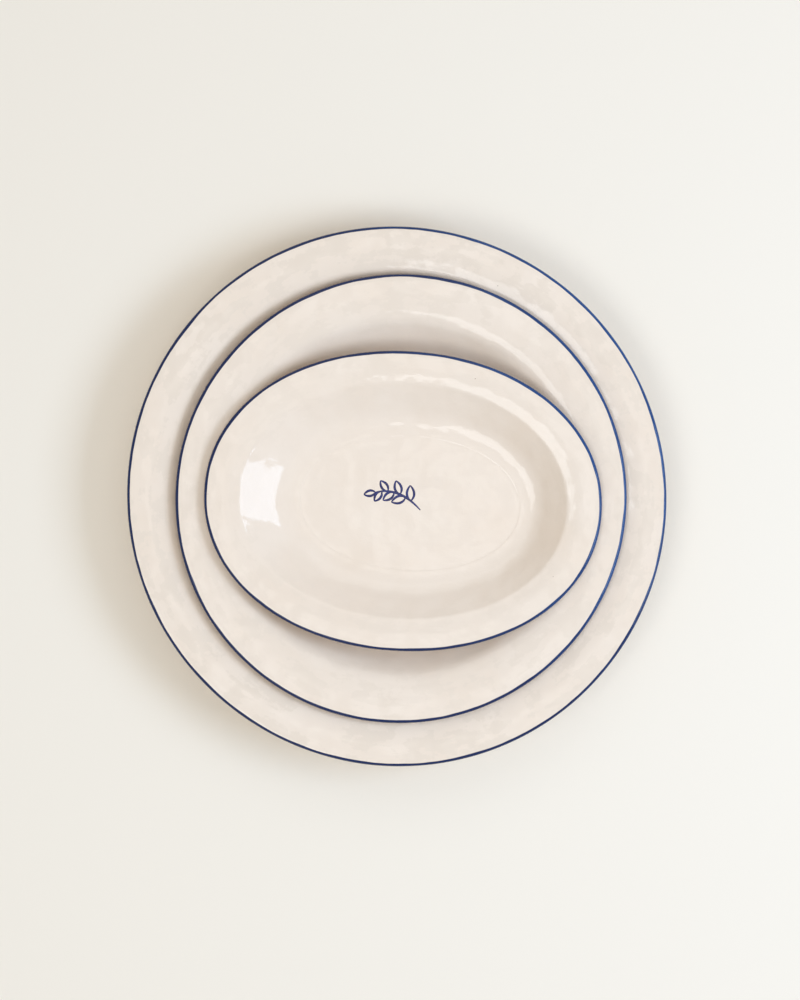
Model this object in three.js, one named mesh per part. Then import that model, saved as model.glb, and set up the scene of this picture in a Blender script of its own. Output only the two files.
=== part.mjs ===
// A nested set of three hand-formed stoneware plates: a round dinner plate, a round
// salad plate standing in it and an oval dish standing in that.
// Millimetres, +Z up. The origin is on the table, at the centre of the dinner plate's foot.

import * as THREE from 'three';

// Every plate is a shallow well with a broad flange and a rounded lip, on a foot ring.
// rimLength is measured over the lip, along the longest way across. Outwards from the
// middle come the floor, the wall (wallReach), the crease and the flange (flangeWidth),
// whose inner part, the shoulder, bends down towards the crease.

const DINNER = {
  rimLength: 275,
  height: 28,
  flangeWidth: 22,
  flangeRise: 2.8,
  shoulderWidth: 9,
  shoulderRise: 2.1,
  shoulderRadius: 50,
  wallReach: 24,
  wall: 4.5,
  lip: 3.8,
  creaseRadius: 9,
  wellRadius: 30,
  footHeight: 2.5,
  footWidth: 6,
  footInset: 10,
  swell: 0.75,
  longWay: 131,
};

const SALAD = {
  rimLength: 229,
  height: 23.2,
  flangeWidth: 22.5,
  flangeRise: 2.3,
  shoulderWidth: 12,
  shoulderRise: 1.7,
  shoulderRadius: 60,
  wallReach: 17.5,
  wall: 4.2,
  lip: 3.6,
  creaseRadius: 20,
  wellRadius: 24,
  footHeight: 2.3,
  footWidth: 5.5,
  footInset: 8,
  swell: 0.5,
  longWay: 26,
};

// The oval dish's floor sits a little off centre, as its mould left it.

const OVAL = {
  rimLength: 202,
  rimWidth: 152,
  height: 20.2,
  flangeWidth: 17.6,
  flangeRise: 2,
  shoulderWidth: 6,
  shoulderRise: 1.4,
  shoulderRadius: 40,
  wallReach: 19,
  floorWidth: 85,
  floorShiftX: 3.6,
  floorShiftY: -1,
  fullness: 2.07,
  wall: 4,
  lip: 3.5,
  creaseRadius: 8,
  wellRadius: 26,
  footHeight: 2,
  footWidth: 5,
  footInset: 11,
};

// How the set is stacked: each plate stands a little off the middle of the one below.

const SALAD_SHIFT = new THREE.Vector3(2.2, -1.1, 0);
const OVAL_SHIFT = new THREE.Vector3(1, -1.25, 0);
const OVAL_TURN = -3.3;
const SEAT_GAP = 0.3;

const STEPS_ROUND = 60;
const LARGE_FILLET_STEPS = 4;
const SMALL_FILLET_STEPS = 2;
const LIP_STEPS = 3;
const FOOT_EDGE_RADIUS = 0.8;
const MOST_OF_AN_EDGE = 0.45;

const UP = new THREE.Vector3(0, 0, 1);

function corner(radius, height, fillet = 0, steps = 1) {
  return { point: new THREE.Vector2(radius, height), fillet, steps };
}

// Points along straight lines whose inner corners are rounded off by their fillets.
function roundedLine(corners) {
  const points = [corners[0].point];
  for (let i = 1; i < corners.length - 1; i++) {
    const { point, fillet, steps } = corners[i];
    if (fillet === 0) {
      points.push(point);
      continue;
    }
    const back = corners[i - 1].point.clone().sub(point);
    const ahead = corners[i + 1].point.clone().sub(point);
    const turn = Math.PI - back.angleTo(ahead);
    const room = MOST_OF_AN_EDGE * Math.min(back.length(), ahead.length());
    const reach = Math.min(fillet * Math.tan(turn / 2), room);
    const start = back.setLength(reach).add(point);
    const end = ahead.setLength(reach).add(point);
    points.push(...new THREE.QuadraticBezierCurve(start, point, end).getPoints(steps));
  }
  points.push(corners[corners.length - 1].point);
  return points;
}

// The radii and heights that follow from a plate's own sizes.
function layout(size) {
  const rim = size.rimLength / 2;
  const crease = rim - size.flangeWidth;
  const floor = crease - size.wallReach;
  const footOuter = floor - size.footInset;
  const creaseTop = size.height - size.flangeRise;
  return {
    rim,
    shoulder: crease + size.shoulderWidth,
    shoulderTop: creaseTop + size.shoulderRise,
    crease,
    creaseTop,
    floor,
    footOuter,
    footInner: footOuter - size.footWidth,
    floorTop: size.footHeight + size.wall,
  };
}

// A corner of the underside: the upper corner moved through the wall, square to both sides.
function throughWall(upper, angleInside, angleOutside, wall) {
  const middle = (angleInside + angleOutside) / 2;
  const depth = wall / Math.cos((angleOutside - angleInside) / 2);
  return [upper.x + depth * Math.sin(middle), upper.y - depth * Math.cos(middle)];
}

// Half of a plate's section: the underside from the axis out to the lip, and the upper
// face from the lip back to the axis. Both lines run along the lip's outer edge, where
// they meet, so each is cut off there.
function plateSection(size) {
  const at = layout(size);
  const wallAngle = Math.atan2(at.creaseTop - at.floorTop, size.wallReach);
  const shoulderAngle = Math.atan2(size.shoulderRise, size.shoulderWidth);
  const floorEdge = corner(at.floor, at.floorTop, size.wellRadius, LARGE_FILLET_STEPS);
  const crease = corner(at.crease, at.creaseTop, size.creaseRadius, LARGE_FILLET_STEPS);
  const underFloor = throughWall(floorEdge.point, 0, wallAngle, size.wall);
  const underCrease = throughWall(crease.point, wallAngle, shoulderAngle, size.wall);
  const lipBottom = corner(at.rim, size.height - size.lip, size.lip / 2, LIP_STEPS);
  const lipTop = corner(at.rim, size.height, size.lip / 2, LIP_STEPS);

  const underside = roundedLine([
    corner(0, size.footHeight),
    corner(at.footInner, size.footHeight),
    corner(at.footInner, 0, FOOT_EDGE_RADIUS),
    corner(at.footOuter, 0, FOOT_EDGE_RADIUS),
    corner(at.footOuter, size.footHeight),
    corner(...underFloor, size.wellRadius, LARGE_FILLET_STEPS),
    corner(...underCrease, size.creaseRadius + size.wall, LARGE_FILLET_STEPS),
    lipBottom,
    lipTop,
  ]);
  const upperFace = roundedLine([
    lipBottom,
    lipTop,
    corner(at.shoulder, at.shoulderTop, size.shoulderRadius, SMALL_FILLET_STEPS),
    crease,
    floorEdge,
    corner(0, at.floorTop),
  ]);
  return { underside: underside.slice(0, -1), upperFace: upperFace.slice(1) };
}

// The section turned round the axis, with every point then moved to the plate's outline.
function formPlate(size, outline) {
  const { underside, upperFace } = plateSection(size);
  const geometry = new THREE.LatheGeometry([...underside, ...upperFace], STEPS_ROUND);
  geometry.rotateX(Math.PI / 2);
  const points = geometry.attributes.position;
  for (let i = 0; i < points.count; i++) {
    const radius = Math.hypot(points.getX(i), points.getY(i));
    const angle = Math.atan2(points.getY(i), points.getX(i));
    points.setXY(i, ...outline(radius, angle));
  }
  geometry.computeVertexNormals();
  return { geometry, upperFace };
}

// A hand-formed round plate is slightly longer one way than the other.
function roundStretch(size, angle) {
  const longWay = THREE.MathUtils.degToRad(size.longWay);
  return 1 + (2 * size.swell / size.rimLength) * Math.cos(2 * (angle - longWay));
}

function roundPlate(size) {
  const plate = formPlate(size, (radius, angle) => {
    const stretched = radius * roundStretch(size, angle);
    return [stretched * Math.cos(angle), stretched * Math.sin(angle)];
  });
  return { ...plate, size };
}

// Rings of the oval dish: full ovals that keep about the same width of flange, wall and
// foot all the way round, with the floor's rings moved off centre.
function ovalDish(size) {
  const at = layout(size);
  const rimInset = (size.rimLength - size.rimWidth) / 2;
  const floorInset = at.floor - size.floorWidth / 2;
  const power = 2 / size.fullness;

  function halfWidth(halfLength) {
    if (halfLength < at.footInner) {
      return halfLength * (at.footInner - floorInset) / at.footInner;
    }
    const outwards = THREE.MathUtils.clamp((halfLength - at.floor) / (at.rim - at.floor), 0, 1);
    return halfLength - THREE.MathUtils.lerp(floorInset, rimInset, outwards);
  }

  function rounded(value) {
    return Math.sign(value) * Math.abs(value) ** power;
  }

  return formPlate(size, (halfLength, angle) => {
    const downWall = THREE.MathUtils.clamp((at.crease - halfLength) / size.wallReach, 0, 1);
    return [
      halfLength * rounded(Math.cos(angle)) + size.floorShiftX * downWall,
      halfWidth(halfLength) * rounded(Math.sin(angle)) + size.floorShiftY * downWall,
    ];
  });
}

// How high a round plate's upper face is at a point, or far below the table beside it.
function upperFaceHeight(plate, x, y) {
  const radius = Math.hypot(x, y) / roundStretch(plate.size, Math.atan2(y, x));
  const face = plate.upperFace;
  for (let i = 1; i < face.length; i++) {
    if (radius <= face[i - 1].x && radius >= face[i].x) {
      const inwards = (face[i - 1].x - radius) / (face[i - 1].x - face[i].x || 1);
      return THREE.MathUtils.lerp(face[i - 1].y, face[i].y, inwards);
    }
  }
  return -Infinity;
}

// A plate set down on another sinks until some point of it comes to the seat gap.
function restingHeight(upper, shift, turn, lower) {
  const points = upper.geometry.attributes.position;
  const point = new THREE.Vector3();
  let rest = -Infinity;
  for (let i = 0; i < points.count; i++) {
    point.fromBufferAttribute(points, i);
    point.applyAxisAngle(UP, turn).add(shift);
    rest = Math.max(rest, upperFaceHeight(lower, point.x, point.y) - point.z);
  }
  return rest + SEAT_GAP;
}

function glazedMesh(name, plate) {
  const glaze = new THREE.MeshStandardMaterial({ color: 0xefe6d9, roughness: 0.22, metalness: 0 });
  const mesh = new THREE.Mesh(plate.geometry, glaze);
  mesh.name = name;
  return mesh;
}

const dinnerPlate = roundPlate(DINNER);
const saladPlate = roundPlate(SALAD);
const ovalPlate = ovalDish(OVAL);
const ovalTurn = THREE.MathUtils.degToRad(OVAL_TURN);

const ovalStand = new THREE.Group();
ovalStand.position.copy(OVAL_SHIFT);
ovalStand.position.z = restingHeight(ovalPlate, OVAL_SHIFT, ovalTurn, saladPlate);
ovalStand.rotation.z = ovalTurn;
ovalStand.add(glazedMesh('oval_dish', ovalPlate));

const saladStand = new THREE.Group();
saladStand.position.copy(SALAD_SHIFT);
saladStand.position.z = restingHeight(saladPlate, SALAD_SHIFT, 0, dinnerPlate);
saladStand.add(glazedMesh('salad_plate', saladPlate));
saladStand.add(ovalStand);

const plateSet = new THREE.Group();
plateSet.add(glazedMesh('dinner_plate', dinnerPlate));
plateSet.add(saladStand);

export default plateSet;
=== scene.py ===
# %% [markdown]
# # A nested set of three plates
# The object is a stack of tableware: a round dinner plate, a round salad plate standing in
# it and an oval dish on top. Each is one piece of fired clay with a cream glaze and a lip
# that is painted blue by hand. The lesson loads the measured solids first, so that every
# piece made here lands exactly where the real one stands.

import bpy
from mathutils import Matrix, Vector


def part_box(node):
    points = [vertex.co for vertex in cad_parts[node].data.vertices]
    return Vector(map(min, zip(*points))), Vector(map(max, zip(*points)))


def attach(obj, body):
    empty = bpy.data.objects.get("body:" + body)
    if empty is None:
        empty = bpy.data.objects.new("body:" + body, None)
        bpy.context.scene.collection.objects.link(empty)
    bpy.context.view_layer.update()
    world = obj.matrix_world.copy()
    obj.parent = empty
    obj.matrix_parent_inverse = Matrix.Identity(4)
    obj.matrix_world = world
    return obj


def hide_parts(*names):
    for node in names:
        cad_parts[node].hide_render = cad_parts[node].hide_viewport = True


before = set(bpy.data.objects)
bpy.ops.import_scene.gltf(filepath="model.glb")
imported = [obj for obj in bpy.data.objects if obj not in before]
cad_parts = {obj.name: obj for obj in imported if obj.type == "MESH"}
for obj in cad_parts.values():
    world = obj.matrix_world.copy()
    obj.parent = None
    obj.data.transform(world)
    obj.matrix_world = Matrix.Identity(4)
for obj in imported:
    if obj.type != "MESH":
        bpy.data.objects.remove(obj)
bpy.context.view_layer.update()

# %% [markdown]
# ## Sizes of the plates
# A potter describes a plate by its section: floor, wall, crease, flange and lip, on a foot
# ring. The flange's inner part, its shoulder, bends down to the crease. The same few sizes
# describe all three plates, so they are kept together here, in metres and degrees. Only
# where a plate stands is read from its solid. The last three values belong to the finish:
# `seed` moves the noise, `lit_side_way` is the side of the lip where its blue is painted
# paler, a painted highlight towards the window light, and `streaky` is how strongly the
# glaze was wiped.

# %% Find where a plate stands
import math

import bpy
from mathutils import Vector

MM = 0.001


def stands_at(node):
    """The middle of a node's box, on the level of its foot."""
    low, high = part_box(node)
    return Vector(((low[0] + high[0]) / 2, (low[1] + high[1]) / 2, low[2]))


for node in ("dinner_plate", "salad_plate", "oval_dish"):
    print(node, "stands at, mm:", [round(v / MM, 2) for v in stands_at(node)])

# %% Name the sizes
DINNER = dict(
    node="dinner_plate", rim_length=275 * MM, rim_width=275 * MM, height=28 * MM,
    flange_width=22 * MM, flange_rise=2.8 * MM, shoulder_width=9 * MM, shoulder_rise=2.1 * MM,
    shoulder_radius=50 * MM, wall_reach=24 * MM, floor_width=183 * MM, wall=4.5 * MM,
    lip=3.8 * MM, crease_radius=9 * MM, well_radius=30 * MM,
    foot_height=2.5 * MM, foot_width=6 * MM, foot_inset=10 * MM,
    fullness=2.0, swell=0.75 * MM, long_way=131, turn=0.0, floor_shift=(0.0, 0.0),
    seed=3.0, lit_side_way=30, streaky=0.9,
)
SALAD = dict(
    node="salad_plate", rim_length=229 * MM, rim_width=229 * MM, height=23.2 * MM,
    flange_width=22.5 * MM, flange_rise=2.3 * MM, shoulder_width=12 * MM, shoulder_rise=1.7 * MM,
    shoulder_radius=60 * MM, wall_reach=17.5 * MM, floor_width=149 * MM, wall=4.2 * MM,
    lip=3.6 * MM, crease_radius=20 * MM, well_radius=24 * MM,
    foot_height=2.3 * MM, foot_width=5.5 * MM, foot_inset=8 * MM,
    fullness=2.0, swell=0.5 * MM, long_way=26, turn=0.0, floor_shift=(0.0, 0.0),
    seed=11.0, lit_side_way=10, streaky=0.6,
)
OVAL = dict(
    node="oval_dish", rim_length=202 * MM, rim_width=152 * MM, height=20.2 * MM,
    flange_width=17.6 * MM, flange_rise=2 * MM, shoulder_width=6 * MM, shoulder_rise=1.4 * MM,
    shoulder_radius=40 * MM, wall_reach=19 * MM, floor_width=85 * MM, wall=4 * MM,
    lip=3.5 * MM, crease_radius=8 * MM, well_radius=26 * MM,
    foot_height=2 * MM, foot_width=5 * MM, foot_inset=11 * MM,
    fullness=2.07, swell=0.0, long_way=0, turn=-3.3, floor_shift=(3.6 * MM, -1 * MM),
    seed=23.0, lit_side_way=15, streaky=0.4,
)


def radii(size):
    """Half lengths of the rim, crease, floor and foot, measured from the middle."""
    rim = size["rim_length"] / 2
    crease = rim - size["flange_width"]
    floor = crease - size["wall_reach"]
    foot = floor - size["foot_inset"]
    return dict(
        rim=rim, crease=crease, floor=floor, foot=foot, foot_inner=foot - size["foot_width"],
    )


for size in (DINNER, SALAD, OVAL):
    print(size["node"], "half lengths, mm:", {k: round(v / MM, 1) for k, v in radii(size).items()})

# %% [markdown]
# ## The section
# Half of a plate's section is one line that starts under the middle, runs out over the foot
# and the underside to the lip, and comes back over the flange, the wall and the floor. It
# could be drawn by hand as a curve. Working it out from the sizes keeps the wall even, and
# lets each corner be rounded by its own radius. The points lie close where the line bends,
# and wide apart where it is straight.

# %% Round the corners of a line
STRAIGHT_STEP = 2.6 * MM
MOST_OF_AN_EDGE = 0.45


def along(start, end):
    """Points from start up to end, not counting start, no more than a step apart."""
    count = max(1, math.ceil((end - start).length / STRAIGHT_STEP))
    return [start.lerp(end, i / count) for i in range(1, count + 1)]


def rounded_line(corners):
    """Points along straight lines. Inner corners (radius, height, fillet, steps) are rounded."""
    spots = [Vector(corner[:2]) for corner in corners]
    points = [spots[0]]
    for i in range(1, len(corners) - 1):
        fillet, steps = corners[i][2:]
        back = spots[i - 1] - spots[i]
        ahead = spots[i + 1] - spots[i]
        turn = math.pi - back.angle(ahead)
        room = MOST_OF_AN_EDGE * min(back.length, ahead.length)
        reach = min(fillet * math.tan(turn / 2), room)
        start = spots[i] + back.normalized() * reach
        end = spots[i] + ahead.normalized() * reach
        points += along(points[-1], start)
        for k in range(1, steps + 1):
            t = k / steps
            points.append((1 - t) ** 2 * start + 2 * t * (1 - t) * spots[i] + t * t * end)
    return points + along(points[-1], spots[-1])


# %% Form the lip, the floor and the underside
LIP_STEPS = 9
FLOOR_STEP = 0.15 * MM
FLOOR_STEP_WIDTH = 0.9 * MM
FLOOR_STEPS = 4


def through_wall(corner, inside, outside, wall):
    """A corner of the upper face moved through the wall, square to the two sides it joins."""
    middle = (inside + outside) / 2
    depth = wall / math.cos((outside - inside) / 2)
    return corner[0] + depth * math.sin(middle), corner[1] - depth * math.cos(middle)


def lip_arc(size, start, end):
    """Points round the lip between two angles, in degrees up from straight out."""
    round_of_lip = size["lip"] / 2
    middle = Vector((size["rim_length"] / 2 - round_of_lip, size["height"] - round_of_lip))
    turns = [math.radians(start + (end - start) * i / LIP_STEPS) for i in range(LIP_STEPS + 1)]
    return [middle + round_of_lip * Vector((math.cos(a), math.sin(a))) for a in turns]


def stepped_floor(edge):
    """The flat floor from its edge to the middle, with the fine step the trimming tool left."""
    points = [edge]
    for k in range(1, FLOOR_STEPS + 1):
        t = k / FLOOR_STEPS
        points.append(edge - Vector((t * FLOOR_STEP_WIDTH, t * t * (3 - 2 * t) * FLOOR_STEP)))
    return points + along(points[-1], Vector((0, edge.y - FLOOR_STEP)))


# %% Work out a plate's section
LARGE_STEPS = 12
FOOT_STEPS = 3
FOOT_EDGE = 0.8 * MM
SEAM = 0.001 * MM


def plate_section(size):
    """The section's points, and how many of them lead from the middle to the lip."""
    at = radii(size)
    floor = (at["floor"], size["foot_height"] + size["wall"])
    crease = (at["crease"], size["height"] - size["flange_rise"])
    shoulder = (at["crease"] + size["shoulder_width"], crease[1] + size["shoulder_rise"])
    wall_angle = math.atan2(crease[1] - floor[1], size["wall_reach"])
    shoulder_angle = math.atan2(size["shoulder_rise"], size["shoulder_width"])
    under_floor = through_wall(floor, 0, wall_angle, size["wall"])
    under_crease = through_wall(crease, wall_angle, shoulder_angle, size["wall"])
    lip_under = lip_arc(size, -90, 0)
    lip_over = lip_arc(size, 0, 90)
    underside = rounded_line([
        (0, size["foot_height"]),
        (at["foot_inner"], size["foot_height"], FOOT_EDGE, FOOT_STEPS),
        (at["foot_inner"], 0, FOOT_EDGE, FOOT_STEPS),
        (at["foot"], 0, FOOT_EDGE, FOOT_STEPS),
        (at["foot"], size["foot_height"], FOOT_EDGE, FOOT_STEPS),
        (*under_floor, size["well_radius"], LARGE_STEPS),
        (*under_crease, size["crease_radius"] + size["wall"], LARGE_STEPS),
        lip_under[0],
    ])
    upper = rounded_line([
        lip_over[-1],
        (*shoulder, size["shoulder_radius"], LARGE_STEPS),
        (*crease, size["crease_radius"], LARGE_STEPS),
        (*floor, size["well_radius"], LARGE_STEPS),
        (0, floor[1]),
    ])
    flat = [point for point in upper if point.y < floor[1] + SEAM]
    to_lip = underside + lip_under[1:]
    from_lip = lip_over[1:] + upper[1:-len(flat)] + stepped_floor(flat[0])
    return to_lip + from_lip, len(to_lip)


print("points in a section:", [len(plate_section(size)[0]) for size in (DINNER, SALAD, OVAL)])

# %% [markdown]
# ## What each point of the section carries
# Every point also carries two vectors. `outline` holds the half width of its ring and how
# far the ring sits off centre: on the oval dish the flange keeps about the same width all
# the way round, which a plain scaled circle wouldn't. `finish` holds the way over the lip,
# counted from the lip's outermost point, and whether the clay is bare, as under the foot.
# The materials read `finish`, so paint and bare clay follow the form.

# %% Make the section a mesh
def half_width(size, half_length):
    """Half the width of the ring whose half length is given."""
    at = radii(size)
    rim_inset = (size["rim_length"] - size["rim_width"]) / 2
    floor_inset = at["floor"] - size["floor_width"] / 2
    if half_length < at["foot_inner"]:
        return half_length * (at["foot_inner"] - floor_inset) / at["foot_inner"]
    outwards = min(max((half_length - at["floor"]) / (at["rim"] - at["floor"]), 0), 1)
    return half_length - floor_inset - (rim_inset - floor_inset) * outwards


def section_mesh(size):
    """A line of vertices in the XZ plane, with the outline and finish of each point."""
    points, to_lip = plate_section(size)
    edges = [(i, i + 1) for i in range(len(points) - 1)]
    mesh = bpy.data.meshes.new(size["node"] + "_section")
    mesh.from_pydata([(p.x, 0, p.y) for p in points], edges, [])
    outline = mesh.attributes.new("outline", "FLOAT_VECTOR", "POINT")
    finish = mesh.attributes.new("finish", "FLOAT_VECTOR", "POINT")
    at = radii(size)
    way = [0.0]
    for i in range(1, len(points)):
        way.append(way[-1] + (points[i] - points[i - 1]).length)
    for i, point in enumerate(points):
        down_wall = min(max((at["crease"] - point.x) / size["wall_reach"], 0), 1)
        shift = [down_wall * part for part in size["floor_shift"]]
        outline.data[i].vector = (half_width(size, point.x), *shift)
        bare = 1.0 if point.y < FOOT_EDGE and i < to_lip else 0.0
        finish.data[i].vector = (way[i] - way[to_lip - 1], bare, 0)
    return mesh


print("oval dish's half width at the crease, mm:",
      round(half_width(OVAL, radii(OVAL)["crease"]) / MM, 1))

# %% [markdown]
# ## Building node trees in code
# A node tree is a small program. This helper adds a node, sets its properties and joins its
# inputs to plain values or to other nodes' outputs, so that a tree reads as a list of steps.

# %% A helper for node trees
class Tree:
    """Adds nodes to a node tree and joins their sockets."""

    def __init__(self, tree):
        self.tree = tree

    def put(self, socket, value):
        if isinstance(value, bpy.types.NodeSocket):
            self.tree.links.new(value, socket)
        else:
            socket.default_value = value

    def add(self, kind, inputs=None, **settings):
        node = self.tree.nodes.new(kind)
        for name, value in settings.items():
            setattr(node, name, value)
        for key, value in (inputs or {}).items():
            self.put(node.inputs[key], value)
        return node

    def math(self, operation, *values):
        node = self.add("ShaderNodeMath", operation=operation)
        for socket, value in zip(node.inputs, values):
            self.put(socket, value)
        return node.outputs[0]

    def vector_math(self, operation, first, second):
        node = self.add("ShaderNodeVectorMath", operation=operation)
        self.put(node.inputs[0], first)
        scale_or_vector = node.inputs["Scale"] if operation == "SCALE" else node.inputs[1]
        self.put(scale_or_vector, second)
        return node.outputs[0]

    def split(self, vector):
        return self.add("ShaderNodeSeparateXYZ", {"Vector": vector}).outputs

    def join(self, x, y, z):
        return self.add("ShaderNodeCombineXYZ", {"X": x, "Y": y, "Z": z}).outputs[0]

    def noise(self, vector, scale, detail=2.0, roughness=0.5):
        """Smooth noise about 0, from about -1 to 1."""
        kind = {"Vector": vector, "Scale": scale, "Detail": detail, "Roughness": roughness}
        node = self.add("ShaderNodeTexNoise", kind, noise_dimensions="3D")
        return self.math("MULTIPLY_ADD", node.outputs[0], 2.0, -1.0)

    def smooth_step(self, value, start, end):
        ends = {"Value": value, "From Min": start, "From Max": end}
        return self.add("ShaderNodeMapRange", ends, interpolation_type="SMOOTHSTEP").outputs[0]


# %% Start a geometry tree and run it
def new_geometry_tree(name, sockets):
    """The helper of an empty geometry tree, its named inputs and the socket that ends it."""
    group = bpy.data.node_groups.new(name, "GeometryNodeTree")
    group.interface.new_socket("Geometry", in_out="INPUT", socket_type="NodeSocketGeometry")
    for label, kind in sockets:
        group.interface.new_socket(label, in_out="INPUT", socket_type="NodeSocket" + kind)
    group.interface.new_socket("Geometry", in_out="OUTPUT", socket_type="NodeSocketGeometry")
    tree = Tree(group)
    return tree, tree.add("NodeGroupInput").outputs, tree.add("NodeGroupOutput").inputs[0]


def grown(name, mesh, tree, values):
    """Runs a geometry tree on a mesh and returns the result as an object with a plain mesh."""
    piece = bpy.data.objects.new(name, mesh)
    bpy.context.collection.objects.link(piece)
    modifier = piece.modifiers.new("Grow", "NODES")
    modifier.node_group = tree.tree
    for item in tree.tree.interface.items_tree:
        if item.in_out == "INPUT" and item.name in values:
            modifier[item.identifier] = values[item.name]
    graph = bpy.context.evaluated_depsgraph_get()
    ready = piece.evaluated_get(graph)
    result = bpy.data.meshes.new_from_object(ready, preserve_all_data_layers=True, depsgraph=graph)
    piece.modifiers.clear()
    piece.data = result
    result.name = name
    print(name, "has", len(result.vertices), "vertices and", len(result.polygons), "faces")
    return piece


# %% [markdown]
# ## Turning a plate
# A lathe could sweep the section round the axis, but hand-formed plates aren't true circles.
# This tree lays a flat grid, one row for each point of the section and one column for each
# step round, and moves every grid point to its place: along its ring by the outline's rule,
# then stretched, wobbled a little and set down where the plate stands. The seam and the two
# middles are merged, and the glaze's slow waves move the surface by less than a tenth of a
# millimetre.

# %% Start the tree that turns a plate
SHEET = 1.0

lathe, given, plate_out = new_geometry_tree("Turn a plate", [
    ("Steps round", "Int"), ("Rim", "Float"), ("Fullness", "Float"), ("Swell", "Float"),
    ("Long way", "Float"), ("Wobble", "Float"), ("Lip lift", "Float"), ("Waves", "Float"),
    ("Turn", "Float"), ("Stand", "Vector"), ("Seed", "Float"), ("Glaze", "Material"),
])
counted = lathe.add(
    "GeometryNodeAttributeDomainSize", {"Geometry": given["Geometry"]}, component="MESH",
)
rows = counted.outputs["Point Count"]
columns = lathe.math("ADD", given["Steps round"], 1)
sheet = lathe.add("GeometryNodeMeshGrid", {
    "Size X": SHEET, "Size Y": SHEET, "Vertices X": columns, "Vertices Y": rows,
})
print("inputs of the plate's tree:", [socket.name for socket in given if socket.name])

# %% Read the section along the grid's rows
def section_value(field, row):
    """A value of the section at a row of the grid."""
    node = lathe.add("GeometryNodeSampleIndex", data_type="FLOAT_VECTOR", domain="POINT")
    lathe.put(node.inputs["Geometry"], given["Geometry"])
    lathe.put(node.inputs["Value"], field)
    lathe.put(node.inputs["Index"], row)
    return node.outputs[0]


def carried(name):
    """A vector attribute that the section carries."""
    node = lathe.add("GeometryNodeInputNamedAttribute", {"Name": name}, data_type="FLOAT_VECTOR")
    return node.outputs[0]


place = lathe.add("GeometryNodeInputPosition").outputs[0]
across, up_section, _ = lathe.split(place)
angle = lathe.math("MULTIPLY", lathe.math("ADD", across, SHEET / 2), math.tau)
last_row = lathe.math("SUBTRACT", rows, 1)
up_rows = lathe.math("MULTIPLY", lathe.math("ADD", up_section, SHEET / 2), last_row)
row = lathe.math("ROUND", up_rows)

half_length, _, height = lathe.split(section_value(place, row))
half_breadth, shift_x, shift_y = lathe.split(section_value(carried("outline"), row))
finish = section_value(carried("finish"), row)
print("nodes that read the section:", len(lathe.tree.nodes))

# %% Bend the rings as a hand does
WOBBLES_ROUND = 0.9
LIFTS_ROUND = 0.7
LIFT_SEED_STEP = 40.0
LIFT_POWER = 4.0


def fuller(value):
    """A cosine or sine bent towards its ends, which makes an oval's corners fuller."""
    power = lathe.math("DIVIDE", 2.0, given["Fullness"])
    bent = lathe.math("POWER", lathe.math("ABSOLUTE", value), power)
    return lathe.math("MULTIPLY", lathe.math("SIGN", value), bent)


cosine = lathe.math("COSINE", angle)
sine = lathe.math("SINE", angle)
x = lathe.math("MULTIPLY", half_length, fuller(cosine))
y = lathe.math("MULTIPLY", half_breadth, fuller(sine))

from_long_way = lathe.math("SUBTRACT", angle, given["Long way"])
twice_round = lathe.math("COSINE", lathe.math("MULTIPLY", from_long_way, 2.0))
swelling = lathe.math("MULTIPLY", given["Swell"], twice_round)
unsteady = lathe.noise(lathe.join(cosine, sine, given["Seed"]), WOBBLES_ROUND)
hand = lathe.math("MULTIPLY", given["Wobble"], unsteady)
grow = lathe.math("DIVIDE", lathe.math("ADD", swelling, hand), given["Rim"])
stretch = lathe.math("ADD", grow, 1.0)

outwards = lathe.math("POWER", lathe.math("DIVIDE", half_length, given["Rim"]), LIFT_POWER)
lift_seed = lathe.math("ADD", given["Seed"], LIFT_SEED_STEP)
warped = lathe.noise(lathe.join(cosine, sine, lift_seed), LIFTS_ROUND)
lift = lathe.math("MULTIPLY", given["Lip lift"], warped)
z = lathe.math("MULTIPLY_ADD", lift, outwards, height)
print("nodes with the hand's wobble:", len(lathe.tree.nodes))

# %% Stand the plate in its place and close it
formed_x = lathe.math("MULTIPLY_ADD", x, stretch, shift_x)
formed_y = lathe.math("MULTIPLY_ADD", y, stretch, shift_y)
formed = lathe.join(formed_x, formed_y, z)
turned = lathe.add(
    "ShaderNodeVectorRotate", {"Vector": formed, "Angle": given["Turn"]}, rotation_type="Z_AXIS",
)
stood = lathe.vector_math("ADD", turned.outputs[0], given["Stand"])
marked = lathe.add(
    "GeometryNodeStoreNamedAttribute", {"Geometry": sheet.outputs["Mesh"], "Name": "finish"},
    data_type="FLOAT_VECTOR", domain="POINT",
)
lathe.put(marked.inputs["Value"], finish)
shaped = lathe.add("GeometryNodeSetPosition", {
    "Geometry": marked.outputs[0], "Position": stood,
})
closed = lathe.add("GeometryNodeMergeByDistance", {
    "Geometry": shaped.outputs[0], "Distance": SEAM,
})
print("nodes up to the closed plate:", len(lathe.tree.nodes))

# %% Wave the glaze and dress the plate
WAVES_PER_METRE = 38.0
WAVE_DETAIL = 1.0

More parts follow.
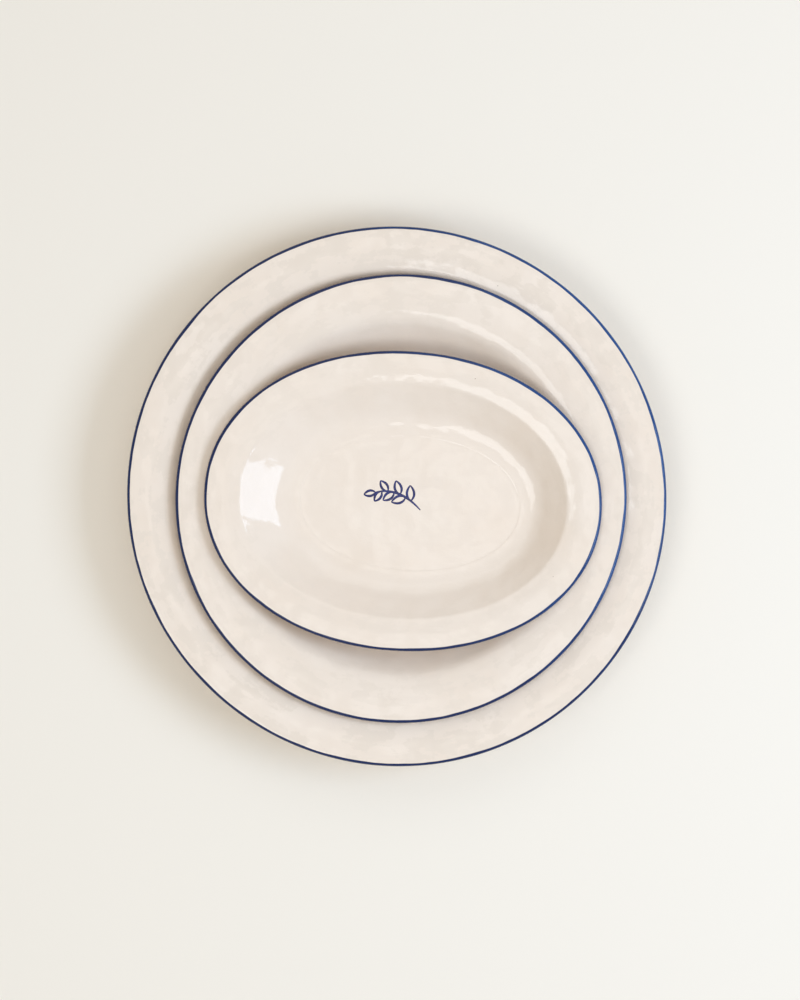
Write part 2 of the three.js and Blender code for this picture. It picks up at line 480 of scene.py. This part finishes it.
glazed_part = lathe.math("SUBTRACT", 1.0, lathe.split(carried("finish"))[1])
seed_each_way = lathe.join(given["Seed"], given["Seed"], given["Seed"])
moved_waves = lathe.vector_math("ADD", place, seed_each_way)
wave = lathe.noise(moved_waves, WAVES_PER_METRE, WAVE_DETAIL)
wave = lathe.math("MULTIPLY", given["Waves"], wave)
wave = lathe.math("MULTIPLY", wave, glazed_part)
normal = lathe.add("GeometryNodeInputNormal").outputs[0]
waved = lathe.add("GeometryNodeSetPosition", {"Geometry": closed.outputs[0]})
lathe.put(waved.inputs["Offset"], lathe.vector_math("SCALE", normal, wave))
smooth = lathe.add("GeometryNodeSetShadeSmooth", {"Geometry": waved.outputs[0]})
real = lathe.add("GeometryNodeRealizeInstances", {"Geometry": smooth.outputs[0]})
dressed = lathe.add("GeometryNodeSetMaterial", {
    "Geometry": real.outputs[0], "Material": given["Glaze"],
})
lathe.put(plate_out, dressed.outputs[0])
print("nodes in the plate's tree:", len(lathe.tree.nodes))

# %% [markdown]
# ## The glaze
# The glaze is a thick, glossy cream over a pale clay. It isn't even: it is a shade deeper
# where it lies thicker, and a shade greyer in wiped streaks, most of them on the flange. Its
# surface rolls slightly, so that reflections have wavy edges, and here and there a pinhole
# is left from the firing. Long shallow streaks run round the plate, where it was smoothed
# on the wheel. A picture could hold all this, but noise on Object coordinates needs no
# unwrapping and is sharp at any distance.

# %% Helpers for materials
def mixed(tree, factor, first, second):
    """A colour between two others."""
    node = tree.add("ShaderNodeMix", data_type="RGBA")
    for index, value in ((0, factor), (6, first), (7, second)):
        tree.put(node.inputs[index], value)
    return node.outputs[2]


def new_material(name):
    """A material with a glossy shader, and the helper for its tree."""
    material = bpy.data.materials.new(name)
    material.use_nodes = True
    return material, Tree(material.node_tree), material.node_tree.nodes["Principled BSDF"]


# %% [markdown]
# ## The painted lip
# The lip is the same glazed surface with cobalt under the glaze. A band of paint could be a
# piece of its own, but paint has no thickness that shows, so it is a mask. The mask comes
# from `finish`, with an edge that wanders as a brush does. The blue is painted paler on the
# side that faces the window light, a painted highlight, and it also varies at random where
# the brush held more or less paint.

# %% Paint the lip
PAINT_OVER_LIP = 2.75 * MM
PAINT_UNDER_LIP = 1.3 * MM
BRUSH_WANDER = 0.45 * MM
BRUSH_EDGE = 0.22 * MM
WANDERING = dict(scale=55.0, detail=2.0)
LOADING = dict(scale=34.0, detail=3.0)
LOADING_AMOUNT = 0.5
# The paler blue towards the lip's lit side is a painted highlight.
NAVY_TO_LIT_BLUE = (0.1, 1.2)


def painted_lip(tree, spot, over_lip):
    """How much blue there is: 1 within the brushed band over the lip."""
    wander = tree.noise(spot, **WANDERING)
    top = tree.math("MULTIPLY_ADD", wander, BRUSH_WANDER, PAINT_OVER_LIP)
    below_top = tree.smooth_step(tree.math("SUBTRACT", top, over_lip), 0.0, BRUSH_EDGE)
    above_bottom = tree.smooth_step(tree.math("ADD", over_lip, PAINT_UNDER_LIP), 0.0, BRUSH_EDGE)
    return tree.math("MULTIPLY", below_top, above_bottom)


def lit_side_and_brush_load(tree, spot, spot_on_plate, lit_side_way):
    """From 0 on the navy side to 1 on the lip's lit side, a painted highlight, with random brush
    load on top.
    """
    # The side towards the window light is painted paler: a painted highlight.
    towards = (math.cos(math.radians(lit_side_way)), math.sin(math.radians(lit_side_way)), 0)
    flat = tree.vector_math("NORMALIZE", spot_on_plate, (0, 0, 0))
    alike = tree.add("ShaderNodeVectorMath", {0: flat, 1: towards}, operation="DOT_PRODUCT")
    uneven = tree.noise(spot, **LOADING)
    thin = tree.math("MULTIPLY_ADD", uneven, LOADING_AMOUNT, alike.outputs["Value"])
    return tree.smooth_step(thin, *NAVY_TO_LIT_BLUE)


# %% Mark the glaze
PINHOLES_PER_METRE = 75.0
PINHOLE_SIZE = 0.018
CELLS_WITHOUT = 0.72
STREAKS_ROUND = 5.0
STREAKS_PER_METRE = 230.0
STREAKING = dict(scale=1.0, detail=3.0)


def pinholes(tree, spot):
    """1 at a few tiny dots."""
    cells = tree.add("ShaderNodeTexVoronoi", {"Vector": spot, "Scale": PINHOLES_PER_METRE})
    dot = tree.math("LESS_THAN", cells.outputs["Distance"], PINHOLE_SIZE)
    chosen = tree.math("GREATER_THAN", tree.split(cells.outputs["Color"])[0], CELLS_WITHOUT)
    return tree.math("MULTIPLY", dot, chosen)


def streaks(tree, spot_on_plate, over_lip, seed):
    """Noise drawn out along the rings of a plate."""
    x, y, _ = tree.split(spot_on_plate)
    flat = tree.vector_math("NORMALIZE", tree.join(x, y, 0.0), (0, 0, 0))
    round_plate = tree.split(tree.vector_math("SCALE", flat, STREAKS_ROUND))
    inwards = tree.math("MULTIPLY_ADD", over_lip, STREAKS_PER_METRE, seed)
    return tree.noise(tree.join(round_plate[0], round_plate[1], inwards), **STREAKING)


# %% Colour the cream
CREAM = (0.877, 0.764, 0.651, 1)
DEEP_CREAM = (0.852, 0.728, 0.606, 1)
WIPED_CREAM = (0.820, 0.710, 0.596, 1)
PINHOLE = (0.330, 0.240, 0.160, 1)
POOLING = dict(scale=26.0, detail=4.0, roughness=0.6)
THIN_TO_POOLED = (-0.5, 0.6)
WIPING = dict(scale=75.0, detail=4.0, roughness=0.65)
WHEEL_IN_WIPING = 0.6
CLEAN_TO_WIPED = (-0.05, 0.12)
FLANGE_ENDS = (16 * MM, 34 * MM)
LESS_IN_WELL = -0.7


def cream_colour(tree, spot, over_lip, wheel, streaky):
    """The glaze's own colour: pooled, wiped and pitted."""
    pooled = tree.smooth_step(tree.noise(spot, **POOLING), *THIN_TO_POOLED)
    wiped = tree.math("MULTIPLY_ADD", wheel, WHEEL_IN_WIPING, tree.noise(spot, **WIPING))
    strokes = tree.math("MULTIPLY", tree.smooth_step(wiped, *CLEAN_TO_WIPED), streaky)
    past_flange = tree.smooth_step(over_lip, *FLANGE_ENDS)
    on_flange = tree.math("MULTIPLY_ADD", past_flange, LESS_IN_WELL, 1.0)
    colour = mixed(tree, pooled, CREAM, DEEP_CREAM)
    colour = mixed(tree, tree.math("MULTIPLY", strokes, on_flange), colour, WIPED_CREAM)
    return mixed(tree, pinholes(tree, spot), colour, PINHOLE)


# %% Roll the glaze's surface
ROLLING = dict(scale=70.0, detail=1.0)
ROLLING_HEIGHT = 0.360 * MM
BRUSHING = dict(scale=190.0, detail=2.0)
BRUSHING_HEIGHT = 0.036 * MM
WHEEL_HEIGHT = 0.024 * MM
GRAINING = dict(scale=900.0, detail=1.0)
GRAIN_HEIGHT = 0.0012 * MM


def glaze_relief(tree, spot, wheel):
    """The normal of a surface that rolls, with brush and wheel marks and a fine grain."""
    rolling = tree.math("MULTIPLY", tree.noise(spot, **ROLLING), ROLLING_HEIGHT)
    brushed = tree.math("MULTIPLY_ADD", tree.noise(spot, **BRUSHING), BRUSHING_HEIGHT, rolling)
    thrown = tree.math("MULTIPLY_ADD", wheel, WHEEL_HEIGHT, brushed)
    grain = tree.math("MULTIPLY_ADD", tree.noise(spot, **GRAINING), GRAIN_HEIGHT, thrown)
    bump = tree.add("ShaderNodeBump", {"Height": grain, "Strength": 1.0, "Distance": 1.0})
    return bump.outputs[0]


# %% The glaze material
# COBALT is the paler blue of the painted highlight on the lip's lit side, and of random brush
# load.
NAVY = (0.004, 0.017, 0.085, 1)
COBALT = (0.011, 0.066, 0.225, 1)
BARE_CLAY = (0.640, 0.553, 0.458, 1)
GLOSS = 0.08
SHINE = 0.46
HAZING = dict(scale=120.0, detail=3.0)
HAZE_AMOUNT = 0.02
BARE_ROUGHNESS = 0.55


def cream_glaze(name, seed, middle, lit_side_way, streaky):
    """The finish of one plate: cream glaze, blue lip and bare clay under the foot."""
    material, tree, shader = new_material(name)
    own = tree.add("ShaderNodeTexCoord").outputs["Object"]
    spot = tree.vector_math("ADD", own, (seed, seed, seed))
    on_plate = tree.vector_math("SUBTRACT", own, middle)
    finish = tree.add("ShaderNodeAttribute", attribute_name="finish").outputs["Vector"]
    over_lip, bare, _ = tree.split(finish)
    wheel = streaks(tree, on_plate, over_lip, seed)

    colour = cream_colour(tree, spot, over_lip, wheel, streaky)
    # Navy to paler cobalt towards the lip's lit side: a painted highlight, with random brush load.
    blue = mixed(tree, lit_side_and_brush_load(tree, spot, on_plate, lit_side_way), NAVY, COBALT)
    colour = mixed(tree, painted_lip(tree, spot, over_lip), colour, blue)
    colour = mixed(tree, bare, colour, BARE_CLAY)
    tree.put(shader.inputs["Base Color"], colour)

    gloss = tree.math("MULTIPLY_ADD", tree.noise(spot, **HAZING), HAZE_AMOUNT, GLOSS)
    rough = tree.math("MULTIPLY_ADD", bare, BARE_ROUGHNESS, gloss)
    tree.put(shader.inputs["Roughness"], rough)
    shader.inputs["Specular IOR Level"].default_value = SHINE
    tree.put(shader.inputs["Normal"], glaze_relief(tree, spot, wheel))
    return material


# %% [markdown]
# ## The three plates
# One tree and one finish serve all three plates. Each plate takes the place of its solid,
# rides on its own body, so that it lifts off as the real one does, and has a glaze of its
# own, so that no two plates are streaked alike.

# %% Make the three plates
STEPS_ROUND = 288
WOBBLE = 0.35 * MM
LIP_LIFT = 0.25 * MM
WAVES = 0.07 * MM


def make_plate(size):
    """One glazed plate, in the place of its solid."""
    node = size["node"]
    middle = stands_at(node)
    glaze = cream_glaze(
        node + "_glaze", size["seed"], middle, size["lit_side_way"], size["streaky"],
    )
    piece = grown(node + "_glazed", section_mesh(size), lathe, {
        "Steps round": STEPS_ROUND, "Rim": radii(size)["rim"], "Fullness": size["fullness"],
        "Swell": size["swell"], "Long way": math.radians(size["long_way"]), "Wobble": WOBBLE,
        "Lip lift": LIP_LIFT, "Waves": WAVES, "Turn": math.radians(size["turn"]),
        "Stand": middle, "Seed": size["seed"], "Glaze": glaze,
    })
    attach(piece, node)
    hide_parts(node)
    return piece


plates = {size["node"]: make_plate(size) for size in (DINNER, SALAD, OVAL)}

# %% [markdown]
# ## The painted sprig
# A small leaf sprig is brushed in blue on the oval dish's floor. Each brush stroke is a curve
# that becomes a thin ribbon of paint, thinner at its ends, where the brush was set down and
# lifted. One leaf is drawn from two strokes and set along the stem many times, now to one
# side and now to the other, so a tree of nodes suits it better than drawing each by hand. A
# ray sent down from every point finds the glaze, so the paint lies on the dish's own surface.

# %% Draw the stem and one leaf
STROKE_POINTS = 24
LEAF_MIDDLE = 0.42

brush, wanted, sprig_out = new_geometry_tree("Paint a sprig", [
    ("Stem start", "Vector"), ("Stem bend", "Vector"), ("Stem end", "Vector"),
    ("Bare stem", "Float"), ("Leaves", "Int"), ("Leaf length", "Float"),
    ("Leaf breadth", "Float"), ("Lean", "Float"), ("Tip size", "Float"), ("Stroke", "Float"),
    ("Thickness", "Float"), ("Place", "Vector"), ("Dish", "Object"), ("Paint", "Material"),
])


def stroke_curve(start, bend, end):
    """One bent brush stroke."""
    ends = {"Resolution": STROKE_POINTS, "Start": start, "Middle": bend, "End": end}
    return brush.add("GeometryNodeCurveQuadraticBezier", ends).outputs[0]


def together(*parts):
    """Several geometries as one."""
    node = brush.add("GeometryNodeJoinGeometry")
    for part in parts:
        brush.tree.links.new(part, node.inputs[0])
    return node.outputs[0]


stem = stroke_curve(wanted["Stem start"], wanted["Stem bend"], wanted["Stem end"])
leaf_middle = brush.math("MULTIPLY", wanted["Leaf length"], LEAF_MIDDLE)
leaf_tip = brush.join(wanted["Leaf length"], 0.0, 0.0)
other_side = brush.math("MULTIPLY", wanted["Leaf breadth"], -1.0)
leaf = together(
    stroke_curve((0, 0, 0), brush.join(leaf_middle, wanted["Leaf breadth"], 0.0), leaf_tip),
    stroke_curve((0, 0, 0), brush.join(leaf_middle, other_side, 0.0), leaf_tip),
)
print("inputs of the sprig's tree:", [socket.name for socket in wanted if socket.name])

# %% Set leaves along the stem
leafy = brush.add(
    "GeometryNodeTrimCurve", {"Curve": stem, "Start": wanted["Bare stem"]}, mode="FACTOR",
)
buds = brush.add(
    "GeometryNodeCurveToPoints", {"Curve": leafy.outputs[0], "Count": wanted["Leaves"]},
    mode="COUNT",
)
along_x, along_y, _ = brush.split(buds.outputs["Tangent"])
number = brush.add("GeometryNodeInputIndex").outputs[0]
last = brush.math("SUBTRACT", wanted["Leaves"], 1)
side = brush.math("MULTIPLY_ADD", brush.math("MODULO", number, 2.0), 2.0, -1.0)
side = brush.math("MULTIPLY", side, brush.math("LESS_THAN", number, last))
stem_way = brush.math("ARCTAN2", along_y, along_x)
heading = brush.math("MULTIPLY_ADD", side, wanted["Lean"], stem_way)
facing = brush.add("FunctionNodeEulerToRotation", {"Euler": brush.join(0.0, 0.0, heading)})
leaf_size = brush.add("ShaderNodeMapRange", {
    "Value": number, "From Max": last, "To Min": 1.0, "To Max": wanted["Tip size"],
})
leaves = brush.add("GeometryNodeInstanceOnPoints", {
    "Points": buds.outputs["Points"], "Instance": leaf,
    "Rotation": facing.outputs[0], "Scale": leaf_size.outputs[0],
})
loose_leaves = brush.add("GeometryNodeRealizeInstances", {"Geometry": leaves.outputs[0]})
drawn = together(stem, loose_leaves.outputs[0])
print("nodes that draw the sprig:", len(brush.tree.nodes))

# %% Lay ribbons of paint on the dish
STROKE_SIDES = 10
HALF_STROKE = 0.5
SET_DOWN = 0.07 * math.pi
SWEEP = 0.86 * math.pi
SOFTNESS = 0.6

way = brush.add("GeometryNodeSplineParameter").outputs["Factor"]
pressed = brush.math("SINE", brush.math("MULTIPLY_ADD", way, SWEEP, SET_DOWN))
pressure = brush.math("POWER", pressed, SOFTNESS)
tip_of_brush = brush.add(
    "GeometryNodeCurvePrimitiveCircle", {"Resolution": STROKE_SIDES, "Radius": HALF_STROKE},
    mode="RADIUS",
)
ribbons = brush.add("GeometryNodeCurveToMesh", {
    "Curve": drawn, "Profile Curve": tip_of_brush.outputs[0],
    "Scale": brush.math("MULTIPLY", pressure, wanted["Stroke"]), "Fill Caps": True,
})
paint_x, paint_y, paint_z = brush.split(brush.add("GeometryNodeInputPosition").outputs[0])
across_dish = brush.vector_math("ADD", brush.join(paint_x, paint_y, 0.0), wanted["Place"])
dish = brush.add(
    "GeometryNodeObjectInfo", {"Object": wanted["Dish"]}, transform_space="ORIGINAL",
)
ray = brush.add("GeometryNodeRaycast", {
    "Target Geometry": dish.outputs["Geometry"], "Source Position": across_dish,
    "Ray Direction": (0, 0, -1),
})
share_of_stroke = brush.math("DIVIDE", paint_z, wanted["Stroke"])
thin = brush.math("MULTIPLY", share_of_stroke, wanted["Thickness"])
laid = brush.vector_math("ADD", ray.outputs["Hit Position"], brush.join(0.0, 0.0, thin))
painted = brush.add("GeometryNodeSetPosition", {
    "Geometry": ribbons.outputs[0], "Position": laid,
})
softened = brush.add("GeometryNodeSetShadeSmooth", {"Geometry": painted.outputs[0]})
loose = brush.add("GeometryNodeRealizeInstances", {"Geometry": softened.outputs[0]})
coloured = brush.add("GeometryNodeSetMaterial", {
    "Geometry": loose.outputs[0], "Material": wanted["Paint"],
})
brush.put(sprig_out, coloured.outputs[0])
print("nodes in the sprig's tree:", len(brush.tree.nodes))

# %% Paint the sprig on the oval dish
SPRIG_BLUE = (0.020, 0.030, 0.165, 1)
SPRIG_DEEP = (0.012, 0.016, 0.100, 1)
SPRIG_LOADING = dict(scale=420.0, detail=2.0)
DEEP_TO_BLUE = (-0.4, 0.5)
SPRIG_FROM_ORIGIN = Vector((-1.4 * MM, -1.0 * MM, 50 * MM))


def sprig_paint():
    """Blue brushwork under the same glossy glaze, deeper where the brush left more."""
    material, tree, shader = new_material("sprig_paint")
    own = tree.add("ShaderNodeTexCoord").outputs["Object"]
    load = tree.smooth_step(tree.noise(own, **SPRIG_LOADING), *DEEP_TO_BLUE)
    tree.put(shader.inputs["Base Color"], mixed(tree, load, SPRIG_DEEP, SPRIG_BLUE))
    shader.inputs["Roughness"].default_value = GLOSS
    shader.inputs["Specular IOR Level"].default_value = SHINE
    return material


sprig = grown("oval_dish_sprig", bpy.data.meshes.new("sprig_start"), brush, {
    "Stem start": (13.5 * MM, -6 * MM, 0), "Stem bend": (3 * MM, 6 * MM, 0),
    "Stem end": (-9.5 * MM, 3.2 * MM, 0), "Bare stem": 0.26, "Leaves": 7,
    "Leaf length": 8.0 * MM, "Leaf breadth": 3.7 * MM, "Lean": math.radians(50),
    "Tip size": 0.75, "Stroke": 1.3 * MM, "Thickness": 0.05 * MM,
    "Place": SPRIG_FROM_ORIGIN, "Dish": plates["oval_dish"], "Paint": sprig_paint(),
})
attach(sprig, "oval_dish")

# %% [markdown]
# ## The table
# The set stands on a plain pale surface. A large plane is enough, since nothing of it shows
# but its colour and the shadow that the set throws on it.

# %% Lay the table
TABLE_SIDE = 40.0
TABLE_COLOUR = (0.900, 0.838, 0.740, 1)
TABLE_ROUGHNESS = 0.8
TABLE_SHINE = 0.1

bpy.ops.mesh.primitive_plane_add(size=TABLE_SIDE)
table = bpy.context.object
table.name = "table"
table_finish, _, table_shader = new_material("pale_table")
table_shader.inputs["Base Color"].default_value = TABLE_COLOUR
table_shader.inputs["Roughness"].default_value = TABLE_ROUGHNESS
table_shader.inputs["Specular IOR Level"].default_value = TABLE_SHINE
table.data.materials.append(table_finish)
print("table's side, m:", TABLE_SIDE)

# %% [markdown]
# ## Light
# A cool window light comes from the right, about forty degrees up, and throws the soft
# shadow to the left. Its mirror image on the glaze would be pure white, so part of its light
# comes from a second lamp in the same place that glossy surfaces don't mirror, much as a
# photographer tames glare with a filter. A high card at the front left picks out the
# creases on the far right. A large reflector over the front and a weaker light from the back
# wall fill the wells, a small ceiling panel shows in the level floors, and the room gives an
# even light from everywhere. All of these are less blue than the window, so shade is warm.

# %% Set the lights
ROOM_COLOUR = (0.480, 0.474, 0.463, 1)
WINDOW = dict(
    azimuth=-5, elevation=42, distance=1.4, wide=0.85, high=0.53, colour=(0.615, 0.770, 1.0),
)
LAMPS = dict(
    window=dict(**WINDOW, power=7.0),
    filtered_window=dict(**WINDOW, power=4.15, mirrored=False),
    card=dict(
        azimuth=225, elevation=65, distance=1.4, wide=0.75, high=0.57, power=3.8,
        colour=(0.943, 0.974, 1.0),
    ),
    reflector=dict(
        azimuth=255, elevation=74, distance=1.6, wide=1.77, high=1.33, power=2.4,
        colour=(1.0, 0.965, 0.916),
    ),
    wall=dict(
        azimuth=90, elevation=50, distance=1.4, wide=1.18, high=0.88, power=2.1,
        colour=(1.0, 0.970, 0.922),
    ),
    ceiling=dict(
        azimuth=10, elevation=88.5, distance=1.4, wide=0.15, high=0.12, power=0.050,
        colour=(1.0, 0.955, 0.893),
    ),
)


def area_light(name, azimuth, elevation, distance, wide, high, power, colour, mirrored=True):
    """A soft rectangular light that looks at the set from the given angles, in degrees."""
    data = bpy.data.lights.new(name, "AREA")
    data.shape = "RECTANGLE"
    data.size = wide
    data.size_y = high
    data.energy = power
    data.color = colour
    lamp = bpy.data.objects.new(name, data)
    bpy.context.collection.objects.link(lamp)
    across = math.radians(azimuth)
    up = math.radians(elevation)
    flat = math.cos(up)
    towards = Vector((math.cos(across) * flat, math.sin(across) * flat, math.sin(up)))
    lamp.location = towards * distance
    lamp.rotation_euler = towards.to_track_quat("Z", "Y").to_euler()
    lamp.visible_glossy = mirrored


for name, lamp in LAMPS.items():
    area_light(name, **lamp)
world = bpy.data.worlds.new("room")
world.use_nodes = True
world.node_tree.nodes["Background"].inputs["Color"].default_value = ROOM_COLOUR
bpy.context.scene.world = world
print("lamps, W:", {name: lamp["power"] for name, lamp in LAMPS.items()})

# %% [markdown]
# ## Camera
# The photograph looks straight down. Its frame is 800 by 1000 pixels, and the dinner plate's
# rim is 269.9 pixels from its middle to its edge, so the lens follows from the rim's real
# size and the camera's height above it.

# %% Set the camera
PICTURE_HEIGHT = 1000
RIM_IN_PICTURE = 269.9
CAMERA_HEIGHT = 1.4
CAMERA_OVER = (1.7 * MM, -1.8 * MM)
SENSOR = 36.0

rim_depth = CAMERA_HEIGHT - DINNER["height"] + DINNER["lip"] / 2
rim_share = RIM_IN_PICTURE / PICTURE_HEIGHT
camera_data = bpy.data.cameras.new("overhead")
camera_data.sensor_width = SENSOR
camera_data.lens = SENSOR * rim_share * rim_depth / radii(DINNER)["rim"]
camera = bpy.data.objects.new("overhead", camera_data)
camera.location = (*CAMERA_OVER, CAMERA_HEIGHT)
bpy.context.collection.objects.link(camera)
bpy.context.scene.camera = camera
bpy.context.scene.view_settings.view_transform = "Standard"
print("lens, mm:", round(camera_data.lens, 2))
